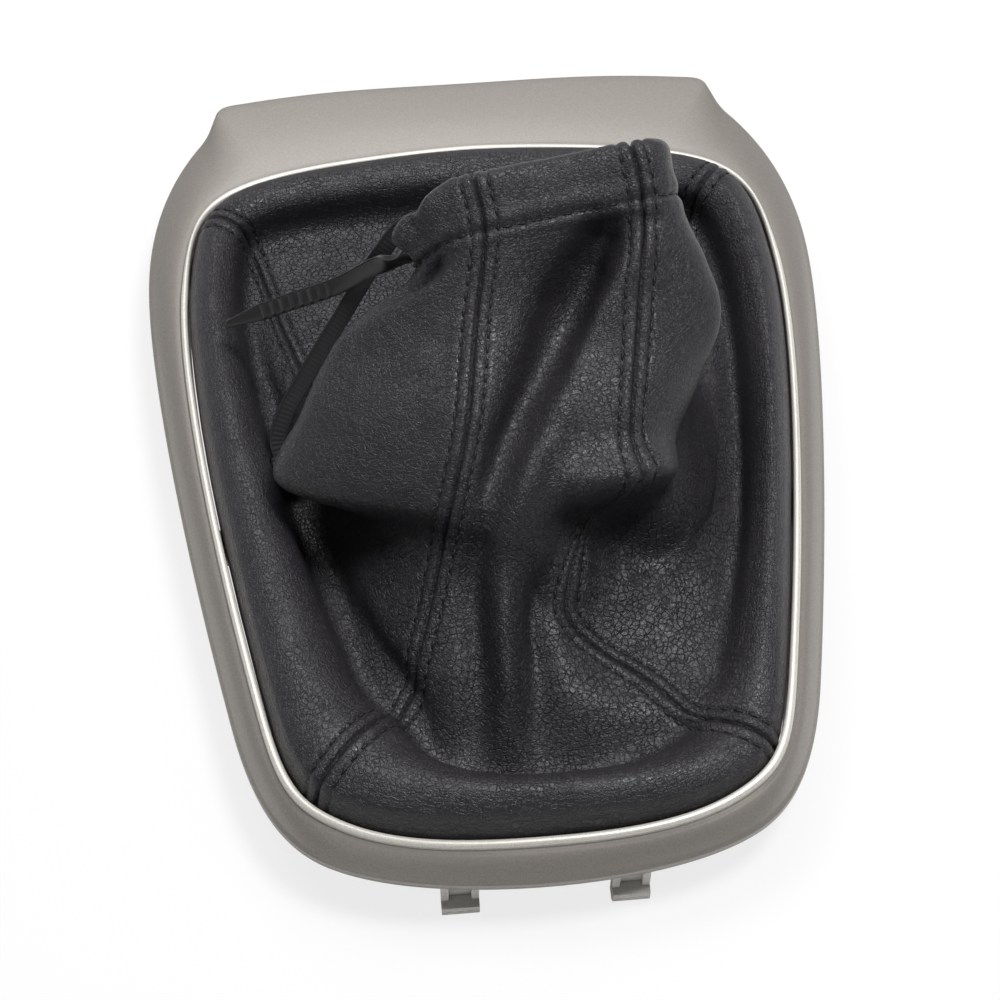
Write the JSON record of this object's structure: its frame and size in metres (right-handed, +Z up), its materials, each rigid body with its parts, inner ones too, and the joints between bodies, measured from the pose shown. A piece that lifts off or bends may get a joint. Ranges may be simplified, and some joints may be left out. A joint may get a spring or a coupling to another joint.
{
  "type": "gear lever gaiter with trim surround",
  "caption": "Sewn leather gear lever gaiter on a snap-in frame, folded over inside a silver moulded console surround with clips, with a loose cable tie in its neck hem.",
  "frame": {"origin": "middle of the surround's plan, at the height of the clip tips that it stands on", "axes": "+X to the right, +Y to the rear tab of the surround, +Z up through the gaiter"},
  "size_m": [0.148, 0.2058, 0.0773],
  "materials": {
    "silver_paint": "satin metallic champagne silver paint",
    "black_plastic": "matt moulded",
    "leather": "black pebble grain",
    "nylon": "moulded nylon"
  },
  "bodies": {
    "root": {"trim_surround": "silver_paint", "gaiter_frame": "black_plastic", "front_panel": "leather", "right_panel": "leather", "rear_panel": "leather", "left_panel": "leather", "cable_tie": "nylon"}
  },
  "joints": []
}
